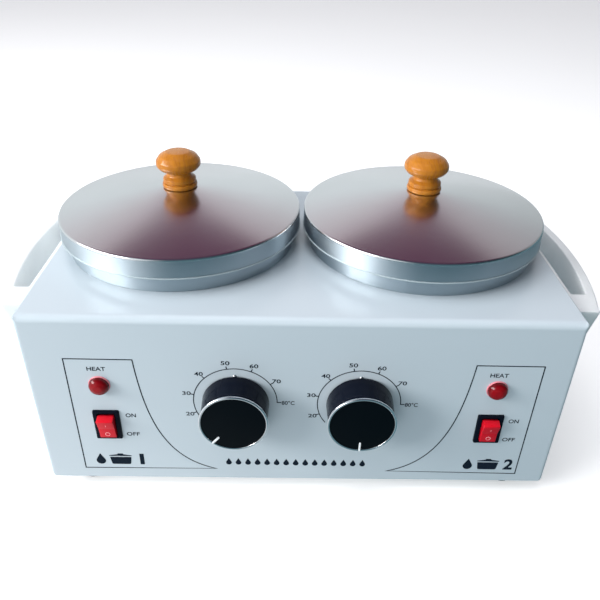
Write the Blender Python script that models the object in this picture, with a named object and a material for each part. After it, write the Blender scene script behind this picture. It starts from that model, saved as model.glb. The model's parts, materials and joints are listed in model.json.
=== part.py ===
"""Twin wax warmer: a sheet-metal housing with two lidded wax pots.

The origin is the middle of the footprint on the table. -Y is the control panel, +Z is up.
Lengths in this file are millimetres. They become metres where vertices are made.
Panel parts are built in panel coordinates (x right, y up, z out of the panel).
"""
from math import cos, pi, radians, sin, sqrt

import bmesh
import bpy
from mathutils import Matrix, Vector

MM = 0.001
GAP = 0.3

# Housing
HOUSING_WIDTH = 300.0
HOUSING_DEPTH = 176.0
HOUSING_HEIGHT = 117.0
BEND_RADIUS = 4.0
WALL = 1.5
BASE_FLANGE = 26.0

# Feet
FOOT_HEIGHT = 8.0
FOOT_RADIUS = 9.0
FOOT_X = 129.0
FOOT_INSET = 15.0

# Pots and lids
POT_X = 75.0
POT_DEPTH_FROM_FRONT = 96.0
POT_HOLE_RADIUS = 63.0
WELL_RADIUS = 61.8
COLLAR_RADIUS = 70.0
COLLAR_HEIGHT = 18.0
POT_RADIUS = 58.5
POT_FLANGE_RADIUS = 70.5
POT_DEPTH = 60.3
LID_HEM_RADIUS = 74.2
LID_RIM_RADIUS = 73.7
LID_RISE = 12.0
LID_SHEET = 1.2
LID_KNOB_RADIUS = 13.5
LID_KNOB_HEIGHT = 22.0
LID_SCREW_RADIUS = 1.5

# Control panel
KNOB_X = {"left": -36.1, "right": 33.6}
KNOB_Z = 69.0
KNOB_RADIUS = 19.0
KNOB_PROJECTION = 18.5
SHAFT_RADIUS = 3.0
LAMP_X = {"left": -111.0, "right": 109.5}
LAMP_Z = 80.5
LAMP_RADIUS = 6.0
SWITCH_X = {"left": -110.4, "right": 109.6}
SWITCH_Z = 51.4
BEZEL_WIDTH = 15.0
BEZEL_HEIGHT = 21.0
BEZEL_PROJECTION = 1.6
ROCKER_TILT = radians(12.0)
ROCKER_PIVOT = 0.5

# Side handles
HANDLE_BULGE = 24.0
HANDLE_END_BULGE = 13.5
HANDLE_HALF_LENGTH = 70.0
HANDLE_HEIGHT = 26.0
HANDLE_DROP = 4.0
HANDLE_RIM = 5.5
HANDLE_STRIP = 4.5
HANDLE_GAP_HALF_LENGTH = 51.0
HANDLE_CORNER = 7.0
HANDLE_SCREW_OFFSET = 58.0

# Mains inlet
INLET_Z = 45.0
INLET_FLANGE_PROJECTION = 3.0
INLET_SCREW_X = 20.0

# Places worked out from the dimensions above
FRONT_Y = (KNOB_PROJECTION - HOUSING_DEPTH - INLET_FLANGE_PROJECTION) / 2
REAR_Y = FRONT_Y + HOUSING_DEPTH
MIDDLE_Y = (FRONT_Y + REAR_Y) / 2
SIDE_X = HOUSING_WIDTH / 2
TOP_Z = FOOT_HEIGHT + HOUSING_HEIGHT
POT_Y = FRONT_Y + POT_DEPTH_FROM_FRONT
COLLAR_TOP = TOP_Z + COLLAR_HEIGHT
POT_RIM_BOTTOM = COLLAR_TOP + GAP
POT_BOTTOM = POT_RIM_BOTTOM + 2.0 - POT_DEPTH
LID_RIM_Z = COLLAR_TOP + 3.9
LID_TOP = LID_RIM_Z + LID_RISE
HANDLE_TOP = TOP_Z - HANDLE_DROP
HANDLE_FACE_X = SIDE_X + GAP
HANDLE_SCREW_Z = HANDLE_TOP - 12.0

ROUND_LARGE = 36
ROUND_MEDIUM = 20
ROUND_SMALL = 12
FACING_FRONT = (pi / 2, 0, 0)
FACING_REAR = (pi / 2, 0, pi)
SIDES = (("left", -1), ("right", 1))


def clear_scene():
    for item in list(bpy.data.objects):
        bpy.data.objects.remove(item, do_unlink=True)


def make_material(name, colour, roughness, metallic=0.0):
    material = bpy.data.materials.new(name)
    material.use_nodes = True
    shader = material.node_tree.nodes["Principled BSDF"]
    shader.inputs["Base Color"].default_value = (*colour, 1.0)
    shader.inputs["Roughness"].default_value = roughness
    shader.inputs["Metallic"].default_value = metallic
    return material


def make_materials():
    return {
        "enamel": make_material("white_enamel", (0.80, 0.88, 0.91), 0.25),
        "steel": make_material("zinc_steel", (0.62, 0.63, 0.64), 0.35, 1.0),
        "lid": make_material("satin_aluminium", (0.70, 0.67, 0.68), 0.30, 1.0),
        "pot": make_material("pot_aluminium", (0.76, 0.76, 0.77), 0.40, 1.0),
        "wood": make_material("varnished_wood", (0.62, 0.27, 0.06), 0.25),
        "handle": make_material("grey_plastic", (0.74, 0.78, 0.78), 0.35),
        "black": make_material("black_plastic", (0.02, 0.02, 0.022), 0.25),
        "chrome": make_material("chrome_trim", (0.85, 0.85, 0.86), 0.08, 1.0),
        "rocker": make_material("red_rocker", (0.75, 0.02, 0.05), 0.25),
        "lamp": make_material("red_lens", (0.55, 0.01, 0.02), 0.10),
        "rubber": make_material("black_rubber", (0.03, 0.03, 0.03), 0.80),
        "brass": make_material("brass_pin", (0.75, 0.58, 0.28), 0.30, 1.0),
        "mica": make_material("heater_mica", (0.55, 0.47, 0.33), 0.60),
        "wool": make_material("insulation_wool", (0.82, 0.80, 0.74), 0.90),
        "terminal": make_material("terminal_plastic", (0.86, 0.84, 0.78), 0.45),
    }


def add_object(name, bm, material, place=(0, 0, 0), turn=(0, 0, 0), parent=None):
    """Turn a bmesh in millimetres into an object in metres."""
    bmesh.ops.scale(bm, vec=(MM, MM, MM), verts=bm.verts)
    bmesh.ops.recalc_face_normals(bm, faces=bm.faces)
    mesh = bpy.data.meshes.new(name)
    bm.to_mesh(mesh)
    bm.free()
    item = bpy.data.objects.new(name, mesh)
    item.location = Vector(place) * MM
    item.rotation_euler = turn
    bpy.context.scene.collection.objects.link(item)
    if material:
        mesh.materials.append(material)
    if parent:
        item.parent = parent
        item.location = item.location - parent.location
    return item


def add_axis(name, place):
    """Add the empty that a moving body's pieces are parented to."""
    empty = bpy.data.objects.new(name, None)
    empty.location = Vector(place) * MM
    bpy.context.scene.collection.objects.link(empty)
    return empty


def smooth(item, angle=35.0):
    item.data.shade_smooth()
    item.data.set_sharp_from_angle(angle=radians(angle))
    return item


def boolean(item, other, operation="DIFFERENCE"):
    modifier = item.modifiers.new(other.name, "BOOLEAN")
    modifier.operation = operation
    modifier.solver = "EXACT"
    modifier.object = other
    other.hide_render = True
    other.display_type = "WIRE"


def bevel(item, width, segments=1):
    modifier = item.modifiers.new("edge_break", "BEVEL")
    modifier.width = width * MM
    modifier.segments = segments
    modifier.limit_method = "ANGLE"
    modifier.angle_limit = radians(50.0)


def box_into(bm, low, high):
    """Add a box between two corners."""
    low, high = Vector(low), Vector(high)
    size = Matrix.Diagonal((*(high - low), 1.0))
    bmesh.ops.create_cube(bm, size=1.0, matrix=Matrix.Translation((low + high) / 2) @ size)


def rod_into(bm, start, end, radius, steps=ROUND_SMALL):
    """Add a cylinder between two points."""
    start, end = Vector(start), Vector(end)
    along = end - start
    turn = along.to_track_quat("Z", "Y").to_matrix().to_4x4()
    bmesh.ops.create_cone(
        bm, cap_ends=True, segments=steps, radius1=radius, radius2=radius,
        depth=along.length, matrix=Matrix.Translation((start + end) / 2) @ turn)


def turned(profile, steps):
    """Spin an outline of (radius, height) points about Z. A radius of 0 closes on the axis."""
    bm = bmesh.new()
    points = [bm.verts.new((radius, 0, height)) for radius, height in profile]
    pairs = list(zip(points, points[1:]))
    if profile[0][0] > 0:
        pairs.append((points[-1], points[0]))
    edges = [bm.edges.new(pair) for pair in pairs]
    bmesh.ops.spin(
        bm, geom=points + edges, cent=(0, 0, 0), axis=(0, 0, 1), angle=2 * pi, steps=steps)
    bmesh.ops.remove_doubles(bm, verts=bm.verts, dist=0.001)
    return bm


def prism(outline, low, high):
    """Extrude a closed outline of (x, y) points from one height to another."""
    bm = bmesh.new()
    face = bm.faces.new([bm.verts.new((x, y, low)) for x, y in outline])
    sides = bmesh.ops.extrude_face_region(bm, geom=[face])
    raised = [item for item in sides["geom"] if isinstance(item, bmesh.types.BMVert)]
    bmesh.ops.translate(bm, vec=(0, 0, high - low), verts=raised)
    return bm


def box_object(name, low, high, material=None, **placing):
    bm = bmesh.new()
    box_into(bm, low, high)
    return add_object(name, bm, material, **placing)


def foot_places():
    front, rear = FRONT_Y + FOOT_INSET, REAR_Y - FOOT_INSET
    return {
        "front_left": (-FOOT_X, front), "front_right": (FOOT_X, front),
        "rear_left": (-FOOT_X, rear), "rear_right": (FOOT_X, rear),
    }


def panel_holes_into(bm):
    """Cut the control panel for the shafts, lamps and switches."""
    outside, inside = FRONT_Y - 2, FRONT_Y + WALL + 2
    for name, _ in SIDES:
        for x, z in ((KNOB_X[name], KNOB_Z), (LAMP_X[name], LAMP_Z)):
            rod_into(bm, (x, outside, z), (x, inside, z), 5.0, 16)
        half_width, half_height = 6.7, 9.8
        x = SWITCH_X[name]
        box_into(bm, (x - half_width, outside, SWITCH_Z - half_height),
                 (x + half_width, inside, SWITCH_Z + half_height))


def other_holes_into(bm):
    """Cut the shell for the pots, feet, handles and mains inlet."""
    for _, side in SIDES:
        rod_into(bm, (side * POT_X, POT_Y, TOP_Z - 5), (side * POT_X, POT_Y, TOP_Z + 5),
                 POT_HOLE_RADIUS, ROUND_LARGE)
        for offset in (-HANDLE_SCREW_OFFSET, HANDLE_SCREW_OFFSET):
            place = MIDDLE_Y + offset
            rod_into(bm, (side * (SIDE_X - 4), place, HANDLE_SCREW_Z),
                     (side * (SIDE_X + 2), place, HANDLE_SCREW_Z), 1.9)
        rod_into(bm, (side * INLET_SCREW_X, REAR_Y - 4, INLET_Z),
                 (side * INLET_SCREW_X, REAR_Y + 2, INLET_Z), 1.9)
    for x, y in foot_places().values():
        rod_into(bm, (x, y, FOOT_HEIGHT - 1), (x, y, FOOT_HEIGHT + 6), 2.1)
    box_into(bm, (-13.8, REAR_Y - 4, INLET_Z - 10.3), (13.8, REAR_Y + 2, INLET_Z + 10.3))


def make_housing(materials):
    bm = bmesh.new()
    box_into(bm, (-SIDE_X, FRONT_Y, FOOT_HEIGHT), (SIDE_X, REAR_Y, TOP_Z))
    bends = [edge for edge in bm.edges
             if all(vert.co.z > TOP_Z - 1 for vert in edge.verts)
             and abs(edge.verts[0].co.x - edge.verts[1].co.x) > 1]
    bmesh.ops.bevel(bm, geom=bends, offset=BEND_RADIUS, segments=4, profile=0.5, affect="EDGES")
    shell = add_object("housing_shell", bm, materials["enamel"])

    inner_x, inner_front, inner_rear = SIDE_X - WALL, FRONT_Y + WALL, REAR_Y - WALL
    flange_bottom = FOOT_HEIGHT + WALL + GAP
    cavity = box_object("cut_cavity", (-inner_x, inner_front, flange_bottom + WALL),
                        (inner_x, inner_rear, TOP_Z - WALL))
    mouth = box_object("cut_mouth",
                       (BASE_FLANGE - inner_x, inner_front + BASE_FLANGE, FOOT_HEIGHT - 1),
                       (inner_x - BASE_FLANGE, inner_rear - BASE_FLANGE, flange_bottom + 4))
    recess = box_object("cut_base_recess", (-inner_x, inner_front, FOOT_HEIGHT - 2),
                        (inner_x, inner_rear, flange_bottom))
    bm = bmesh.new()
    panel_holes_into(bm)
    other_holes_into(bm)
    holes = add_object("cut_housing_holes", bm, None)
    for cutter in (cavity, mouth, recess, holes):
        boolean(shell, cutter)


def make_base_plate(materials):
    edge = WALL + GAP
    plate = box_object("base_plate", (edge - SIDE_X, FRONT_Y + edge, FOOT_HEIGHT),
                       (SIDE_X - edge, REAR_Y - edge, FOOT_HEIGHT + WALL), materials["steel"])
    bm = bmesh.new()
    low, high = FOOT_HEIGHT - 1, FOOT_HEIGHT + WALL + 1
    for x, y in foot_places().values():
        rod_into(bm, (x, y, low), (x, y, high), 2.1)
    slot_length, slot_width, slot_pitch = 56.0, 4.0, 12.0
    for _, side in SIDES:
        for row in range(-2, 3):
            x, y = side * POT_X, POT_Y + row * slot_pitch
            box_into(bm, (x - slot_length / 2, y - slot_width / 2, low),
                     (x + slot_length / 2, y + slot_width / 2, high))
    boolean(plate, add_object("cut_base_holes", bm, None))


def make_feet(materials):
    top = FOOT_HEIGHT - GAP
    foot = [(2.2, 3.5), (4.5, 3.5), (4.5, 0), (FOOT_RADIUS - 0.8, 0), (FOOT_RADIUS, 1.0),
            (FOOT_RADIUS, top), (2.2, top)]
    screw = [(0, 0.6), (3.4, 0.6), (3.8, 1.2), (3.8, 3.2), (1.8, 3.2), (1.8, 15.0), (0, 15.0)]
    for name, (x, y) in foot_places().items():
        item = add_object("foot_" + name, turned(foot, ROUND_MEDIUM), materials["rubber"], (x, y, 0))
        smooth(item)
        item = add_object("foot_screw_" + name, turned(screw, ROUND_SMALL), materials["steel"],
                          (x, y, 0))
        smooth(item)


def handle_arc(radius, centre_x, half_length, steps):
    """Points along the bulging side, from rear to front."""
    points = []
    for index in range(steps + 1):
        y = half_length * (1 - 2 * index / steps)
        points.append((centre_x + sqrt(radius ** 2 - y ** 2), y))
    return points


def make_handle(name, side, materials):
    sagitta = HANDLE_BULGE - HANDLE_END_BULGE
    radius = (HANDLE_HALF_LENGTH ** 2 + sagitta ** 2) / (2 * sagitta)
    centre_x = SIDE_X + HANDLE_BULGE - radius
    straight = HANDLE_HALF_LENGTH - HANDLE_CORNER
    arc = handle_arc(radius, centre_x, straight, 12)
    end_x, eased = arc[0][0], 0.3 * HANDLE_CORNER
    corner = [(end_x - HANDLE_CORNER, HANDLE_HALF_LENGTH), (end_x - eased, HANDLE_HALF_LENGTH - eased)]
    outline = [(HANDLE_FACE_X, -HANDLE_HALF_LENGTH), (HANDLE_FACE_X, HANDLE_HALF_LENGTH)]
    outline += corner + arc + [(x, -y) for x, y in reversed(corner)]
    bm = prism(outline, HANDLE_TOP - HANDLE_HEIGHT, HANDLE_TOP)
    for vert in bm.verts:
        if vert.co.z < HANDLE_TOP - 1:
            vert.co.x = HANDLE_FACE_X + (vert.co.x - HANDLE_FACE_X) * 0.87
            vert.co.y *= 0.90
    bmesh.ops.scale(bm, vec=(side, 1, 1), verts=bm.verts)
    handle = add_object(name + "_handle", bm, materials["handle"], (0, MIDDLE_Y, 0))
    bevel(handle, 1.2, 2)

    strip_x = HANDLE_FACE_X + HANDLE_STRIP
    opening = [(strip_x, -HANDLE_GAP_HALF_LENGTH), (strip_x, HANDLE_GAP_HALF_LENGTH)]
    opening += handle_arc(radius - HANDLE_RIM, centre_x, HANDLE_GAP_HALF_LENGTH, 10)
    bm = prism(outline=opening, low=HANDLE_TOP - HANDLE_HEIGHT - 2, high=HANDLE_TOP + 2)
    for offset in (-HANDLE_SCREW_OFFSET, HANDLE_SCREW_OFFSET):
        rod_into(bm, (HANDLE_FACE_X - 2, offset, HANDLE_SCREW_Z),
                 (HANDLE_FACE_X + 9, offset, HANDLE_SCREW_Z), 1.9)
    bmesh.ops.scale(bm, vec=(side, 1, 1), verts=bm.verts)
    boolean(handle, add_object("cut_" + name + "_handle", bm, None, (0, MIDDLE_Y, 0)))
    smooth(handle)
    make_handle_screws(name, side, materials)


def make_handle_screws(name, side, materials):
    head = SIDE_X - WALL - GAP
    screw = [(0, head - 2.6), (3.2, head - 2.6), (3.6, head - 1.8), (3.6, head), (1.6, head),
             (1.6, SIDE_X + 8.5), (0, SIDE_X + 8.5)]
    for end, offset in (("front", -HANDLE_SCREW_OFFSET), ("rear", HANDLE_SCREW_OFFSET)):
        item = add_object(f"{name}_handle_screw_{end}", turned(screw, ROUND_SMALL),
                          materials["steel"], (0, MIDDLE_Y + offset, HANDLE_SCREW_Z),
                          (0, side * pi / 2, 0))
        smooth(item)


def make_well(name, centre, materials):
    """The fixed heated well, its collar, band heater and insulation."""
    flange_low, flange_high = TOP_Z + GAP, TOP_Z + GAP + WALL
    bore, floor = WELL_RADIUS - WALL, POT_BOTTOM - 0.5
    well = [(0, floor), (bore, floor), (bore, flange_high), (COLLAR_RADIUS - 1.8, flange_high),
            (COLLAR_RADIUS - 1.8, flange_low), (WELL_RADIUS, flange_low),
            (WELL_RADIUS, floor - 2), (0, floor - 2)]
    smooth(add_object(name + "_heater_well", turned(well, ROUND_LARGE), materials["pot"], centre))

    inside, lip = COLLAR_RADIUS - WALL, COLLAR_TOP - WALL
    collar = [(61.0, lip), (61.0, COLLAR_TOP), (COLLAR_RADIUS, COLLAR_TOP),
              (COLLAR_RADIUS, flange_low), (inside, flange_low), (inside, lip)]
    smooth(add_object(name + "_collar", turned(collar, ROUND_LARGE), materials["lid"], centre))

    band_in, band_out = WELL_RADIUS + GAP, WELL_RADIUS + 2.3
    band = [(band_in, 86), (band_in, 112), (band_out, 112), (band_out, 86)]
    heater = add_object(name + "_heater_band", turned(band, ROUND_LARGE), materials["mica"], centre)
    x, y, _ = centre
    boolean(heater, box_object("cut_" + name + "_band_split", (x - 3, y + band_in - 4, 84),
                               (x + 3, y + band_out + 4, 114)))
    smooth(heater)

    wool_in = band_out + GAP
    wool = [(wool_in, 84), (wool_in, 120), (wool_in + 4, 120), (wool_in + 4, 84)]
    smooth(add_object(name + "_insulation_jacket", turned(wool, ROUND_LARGE), materials["wool"],
                      centre))


def make_pot(name, centre, materials):
    """The lift-out wax pot."""
    bore, rim_top = POT_RADIUS - WALL, POT_RIM_BOTTOM + 2.0
    profile = [(0, POT_BOTTOM + 1.8), (bore - 3, POT_BOTTOM + 1.8), (bore, POT_BOTTOM + 4.8),
               (bore, rim_top), (POT_FLANGE_RADIUS, rim_top), (POT_FLANGE_RADIUS, POT_RIM_BOTTOM),
               (POT_RADIUS, POT_RIM_BOTTOM), (POT_RADIUS, POT_BOTTOM + 3.6),
               (POT_RADIUS - 3.6, POT_BOTTOM), (0, POT_BOTTOM)]
    axis = add_axis(name + "_pot_axis", centre)
    pot = add_object(name + "_wax_pot", turned(profile, ROUND_LARGE), materials["pot"], centre,
                     parent=axis)
    smooth(pot)


def make_lid(name, centre, materials):
    """The spun lid with its wooden knob and the screw that holds the knob."""
    axis = add_axis(name + "_lid_axis", centre)
    hem_z, crown = COLLAR_TOP - 7.9, 11.0
    inside, under = LID_RIM_RADIUS - LID_SHEET, LID_TOP - LID_SHEET
    hole = LID_SCREW_RADIUS + GAP
    lid = [(hole, LID_TOP), (crown, LID_TOP), (LID_RIM_RADIUS - 1.1, LID_RIM_Z),
           (LID_RIM_RADIUS, LID_RIM_Z - 1.3), (LID_RIM_RADIUS, hem_z + 1.2),
           (LID_HEM_RADIUS, hem_z + 0.7), (LID_HEM_RADIUS, hem_z), (inside, hem_z),
           (inside, LID_RIM_Z - 1.9), (inside - 0.5, LID_RIM_Z - 1.15), (crown, under), (hole, under)]
    smooth(add_object(name + "_lid", turned(lid, ROUND_LARGE), materials["lid"], centre,
                      parent=axis), 25.0)

    base = LID_TOP + GAP
    top = base + LID_KNOB_HEIGHT
    knob = [(0, base + 12.8), (hole, base + 12.8), (hole, base), (10.5, base), (10.5, base + 2.4),
            (9.0, base + 3.0), (9.8, base + 3.8), (9.8, base + 5.6), (7.4, base + 8.0),
            (7.6, base + 9.4), (11.4, base + 11.2), (LID_KNOB_RADIUS, base + 14.2),
            (12.8, base + 17.4), (9.6, base + 20.2), (4.8, top - 0.4), (0, top)]
    smooth(add_object(name + "_lid_knob", turned(knob, ROUND_MEDIUM), materials["wood"], centre,
                      parent=axis))

    seat = under - GAP
    screw = [(0, seat - 2.2), (3.4, seat - 2.2), (4.0, seat - 1.4), (4.0, seat),
             (LID_SCREW_RADIUS, seat), (LID_SCREW_RADIUS, base + 12.3), (0, base + 12.3)]
    smooth(add_object(name + "_lid_screw", turned(screw, ROUND_SMALL), materials["steel"], centre,
                      parent=axis))


def make_thermostat(name, place, materials):
    """The thermostat behind the panel and the nut on its threaded bush."""
    bush, bore, behind = 4.7, SHAFT_RADIUS + GAP, -WALL - GAP
    body = [(0, -22), (16, -22), (17, -21), (17, behind), (bush, behind), (bush, 3.5), (bore, 3.5),
            (bore, -9), (0, -9)]
    smooth(add_object(name + "_thermostat", turned(body, ROUND_MEDIUM), materials["steel"], place,
                      FACING_FRONT))

    bm = bmesh.new()
    rod_into(bm, (0, 0, GAP), (0, 0, 2.7), 7.5, 6)
    nut = add_object(name + "_thermostat_nut", bm, materials["steel"], place, FACING_FRONT)
    bm = bmesh.new()
    rod_into(bm, (0, 0, -1), (0, 0, 4), bush + GAP + 0.1, ROUND_MEDIUM)
    boolean(nut, add_object("cut_" + name + "_nut", bm, None, place, FACING_FRONT))
    smooth(nut)


def make_control_knob(name, place, materials):
    """The dial knob, its trim ring, its face and the D-shaped shaft that it turns."""
    axis = add_axis(name + "_knob_axis", place)
    bore, face = SHAFT_RADIUS + GAP, KNOB_PROJECTION - 1.6
    body = [(0, face), (KNOB_RADIUS - 0.1, face), (KNOB_RADIUS - 0.7, 0.8), (9.0, 0.8), (9.0, 4.8),
            (bore, 4.8), (bore, 15.2), (0, 15.2)]
    ring_in = KNOB_RADIUS - 1.2
    ring = [(ring_in, face + GAP), (KNOB_RADIUS, face + GAP), (KNOB_RADIUS, KNOB_PROJECTION - 0.4),
            (KNOB_RADIUS - 0.4, KNOB_PROJECTION), (ring_in, KNOB_PROJECTION)]
    cap = [(0, face + GAP), (ring_in - GAP, face + GAP), (ring_in - GAP, KNOB_PROJECTION - 0.4),
           (0, KNOB_PROJECTION - 0.4)]
    pieces = (("_control_knob", body, "black"), ("_knob_ring", ring, "chrome"),
              ("_knob_face", cap, "black"))
    for suffix, profile, material in pieces:
        smooth(add_object(name + suffix, turned(profile, 24), materials[material], place,
                          FACING_FRONT, axis))

    flat, steps = radians(35.0), 14
    outline = []
    for index in range(steps + 1):
        angle = flat + (2 * pi - 2 * flat) * index / steps
        outline.append((SHAFT_RADIUS * sin(angle), SHAFT_RADIUS * cos(angle)))
    smooth(add_object(name + "_thermostat_shaft", prism(outline, -8.7, 14.8), materials["steel"],
                      place, FACING_FRONT, axis))


def make_lamp(name, place, materials):
    dome = LAMP_RADIUS - 0.4
    lens = [(0, GAP), (LAMP_RADIUS, GAP), (LAMP_RADIUS, 0.9), (dome, 1.1), (dome - 0.3, 2.6),
            (dome - 1.3, 3.9), (2.6, 4.8), (0, 5.1)]
    body = [(0, -22), (4.2, -22), (4.7, -21), (4.7, 0), (0, 0)]
    smooth(add_object(name + "_lamp_lens", turned(lens, 16), materials["lamp"], place,
                      FACING_FRONT))
    smooth(add_object(name + "_lamp_body", turned(body, ROUND_SMALL), materials["black"], place,
                      FACING_FRONT))


def make_switch(name, place, materials):
    """The snap-in rocker switch. It rests in its off position, with the upper half proud."""
    body = box_object(name + "_switch_body", (-6.4, -9.5, -17), (6.4, 9.5, 1.2),
                      materials["black"], place=place, turn=FACING_FRONT)
    half_width, half_height = BEZEL_WIDTH / 2, BEZEL_HEIGHT / 2
    bezel = box_object("join_" + name + "_bezel", (-half_width, -half_height, GAP),
                       (half_width, half_height, BEZEL_PROJECTION), place=place,
                       turn=FACING_FRONT)
    cavity = box_object("cut_" + name + "_switch", (-5.1, -8.75, -4.2), (5.1, 8.75, 5.0),
                        place=place, turn=FACING_FRONT)
    boolean(body, bezel, "UNION")
    boolean(body, cavity)

    x, y, z = place
    pivot = (x, y - ROCKER_PIVOT, z)
    axis = add_axis(name + "_rocker_axis", pivot)
    half_side = [(0, 3.3), (7.4, 4.1), (7.9, 0), (6.8, -2.0), (0, -3.2)]
    outline = half_side + [(-up, out) for up, out in half_side[-2:0:-1]]
    bm = prism(outline, -4.8, 4.8)
    stand = Matrix(((0, 0, 1), (1, 0, 0), (0, 1, 0)))
    bmesh.ops.rotate(bm, matrix=stand, verts=bm.verts)
    turn = (pi / 2 + ROCKER_TILT, 0, 0)
    add_object(name + "_rocker", bm, materials["rocker"], pivot, turn, axis)


def make_inlet(materials):
    """The mains inlet on the rear panel, with three pins and two fixing screws."""
    place = (0, REAR_Y, INLET_Z)
    socket = box_object("inlet_socket", (-13.5, -10, -16), (13.5, 10, 1.5), materials["black"],
                        place=place, turn=FACING_REAR)
    flange = box_object("join_inlet_flange", (-25, -12, GAP), (25, 12, INLET_FLANGE_PROJECTION),
                        place=place, turn=FACING_REAR)
    boolean(socket, flange, "UNION")
    bm = bmesh.new()
    box_into(bm, (-12, -8, -13.5), (12, 8, 5))
    for x in (-INLET_SCREW_X, INLET_SCREW_X):
        rod_into(bm, (x, 0, -2), (x, 0, 1.6), 1.9)
    boolean(socket, add_object("cut_inlet_mouth", bm, None, place, FACING_REAR))
    bm = bmesh.new()
    for x in (-INLET_SCREW_X, INLET_SCREW_X):
        rod_into(bm, (x, 0, 1.5), (x, 0, 5), 3.5)
    boolean(socket, add_object("cut_inlet_counterbores", bm, None, place, FACING_REAR))

    pins = (("line", 7.0, -2.0), ("neutral", -7.0, -2.0), ("earth", 0.0, 2.0))
    bm = bmesh.new()
    for _, x, y in pins:
        box_into(bm, (x - 1.3, y - 2.3, -18), (x + 1.3, y + 2.3, -12))
    boolean(socket, add_object("cut_inlet_pin_slots", bm, None, place, FACING_REAR))
    for name, x, y in pins:
        pin = box_object("inlet_pin_" + name, (x - 1, y - 2, -23), (x + 1, y + 2, -2.5),
                         materials["brass"], place=place, turn=FACING_REAR)
        bevel(pin, 0.4)
    screw = [(0, 2.9), (3.2, 2.9), (3.2, 1.9), (1.6, 1.9), (1.6, -7), (0, -7)]
    for name, side in SIDES:
        smooth(add_object("inlet_screw_" + name, turned(screw, ROUND_SMALL), materials["steel"],
                          (side * INLET_SCREW_X, REAR_Y, INLET_Z), FACING_REAR))


def make_terminal_block(materials):
    """The mains terminal block on the base plate, between the two wells."""
    base = FOOT_HEIGHT + WALL + GAP
    block = box_object("terminal_block", (-16, 30, base), (16, 46, base + 12),
                       materials["terminal"])
    bevel(block, 0.8)
    bm = bmesh.new()
    for column in (-10, 0, 10):
        for y in (34, 42):
            rod_into(bm, (column, y, base + 7), (column, y, base + 14), 2.2, 8)
    boolean(block, add_object("cut_terminal_wells", bm, None))


def build():
    clear_scene()
    materials = make_materials()
    make_housing(materials)
    make_base_plate(materials)
    make_feet(materials)
    make_inlet(materials)
    make_terminal_block(materials)
    for name, side in SIDES:
        make_handle(name, side, materials)
        pot_centre = (side * POT_X, POT_Y, 0)
        make_well(name, pot_centre, materials)
        make_pot(name, pot_centre, materials)
        make_lid(name, pot_centre, materials)
        knob_place = (KNOB_X[name], FRONT_Y, KNOB_Z)
        make_thermostat(name, knob_place, materials)
        make_control_knob(name, knob_place, materials)
        make_lamp(name, (LAMP_X[name], FRONT_Y, LAMP_Z), materials)
        make_switch(name, (SWITCH_X[name], FRONT_Y, SWITCH_Z), materials)


build()
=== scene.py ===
"""The looks of the twin wax warmer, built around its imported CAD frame.

Sizes and outlines are in millimetres and become metres where vertices are made. Places come from
the frame. Panel pieces are built in panel coordinates: x right, y up, z out of the panel.
"""
import json
from math import atan2, cos, pi, radians, sin, sqrt

import bmesh
import bpy
from mathutils import Matrix, Vector

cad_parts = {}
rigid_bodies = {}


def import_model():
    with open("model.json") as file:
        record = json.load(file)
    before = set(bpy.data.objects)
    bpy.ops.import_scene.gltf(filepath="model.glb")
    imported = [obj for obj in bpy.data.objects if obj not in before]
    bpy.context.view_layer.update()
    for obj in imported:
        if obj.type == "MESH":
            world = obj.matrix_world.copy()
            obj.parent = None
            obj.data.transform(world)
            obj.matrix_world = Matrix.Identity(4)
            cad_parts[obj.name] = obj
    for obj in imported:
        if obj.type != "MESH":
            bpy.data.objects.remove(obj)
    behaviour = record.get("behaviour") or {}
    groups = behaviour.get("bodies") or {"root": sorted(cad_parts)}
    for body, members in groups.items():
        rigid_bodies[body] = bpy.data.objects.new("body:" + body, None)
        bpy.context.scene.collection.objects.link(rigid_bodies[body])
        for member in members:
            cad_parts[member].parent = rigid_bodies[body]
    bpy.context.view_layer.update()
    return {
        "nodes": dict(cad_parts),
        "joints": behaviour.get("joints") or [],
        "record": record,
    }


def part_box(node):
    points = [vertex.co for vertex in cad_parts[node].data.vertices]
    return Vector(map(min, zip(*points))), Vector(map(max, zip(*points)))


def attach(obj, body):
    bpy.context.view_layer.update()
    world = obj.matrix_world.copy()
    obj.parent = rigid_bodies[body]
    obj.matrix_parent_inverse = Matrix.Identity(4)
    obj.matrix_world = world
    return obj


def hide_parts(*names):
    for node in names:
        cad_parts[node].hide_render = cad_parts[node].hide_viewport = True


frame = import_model()

MM = 0.001
SIDES = (("left", -1), ("right", 1))
FACING_FRONT = (pi / 2, 0, 0)
FACING_REAR = (pi / 2, 0, pi)
CORNERS = ("front_left", "front_right", "rear_left", "rear_right")
SEAT = 0.02  # how far a piece stands off the sheet that it sits on
PRINT_THICKNESS = 0.06
LETTER_WEIGHT = 0.016
POINTER_ANGLES = {"left": 220.5, "right": 181.5}  # at rest, clockwise from the top
FRAMES = {"left": (-1, 0.0), "right": (1, 4.9)}  # which way it faces, and its shift
POT_MARKS = {"left": ((-106.1, -102.4), "1", 2.6), "right": ((114.9, -102.4), "2", 5.6)}


# ---------------------------------------------------------------- places read from the frame

def node_box(node):
    """A CAD node's lowest and highest corners, in millimetres."""
    low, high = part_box(node)
    return low / MM, high / MM


def node_middle(node):
    low, high = node_box(node)
    return (low + high) / 2


HOUSING_LOW, HOUSING_HIGH = node_box("housing_shell")
FRONT_Y = HOUSING_LOW.y
REAR_Y = HOUSING_HIGH.y
SIDE_X = HOUSING_HIGH.x
TOP_Z = HOUSING_HIGH.z
BASE_Z = HOUSING_LOW.z


# ---------------------------------------------------------------- mesh helpers

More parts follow.
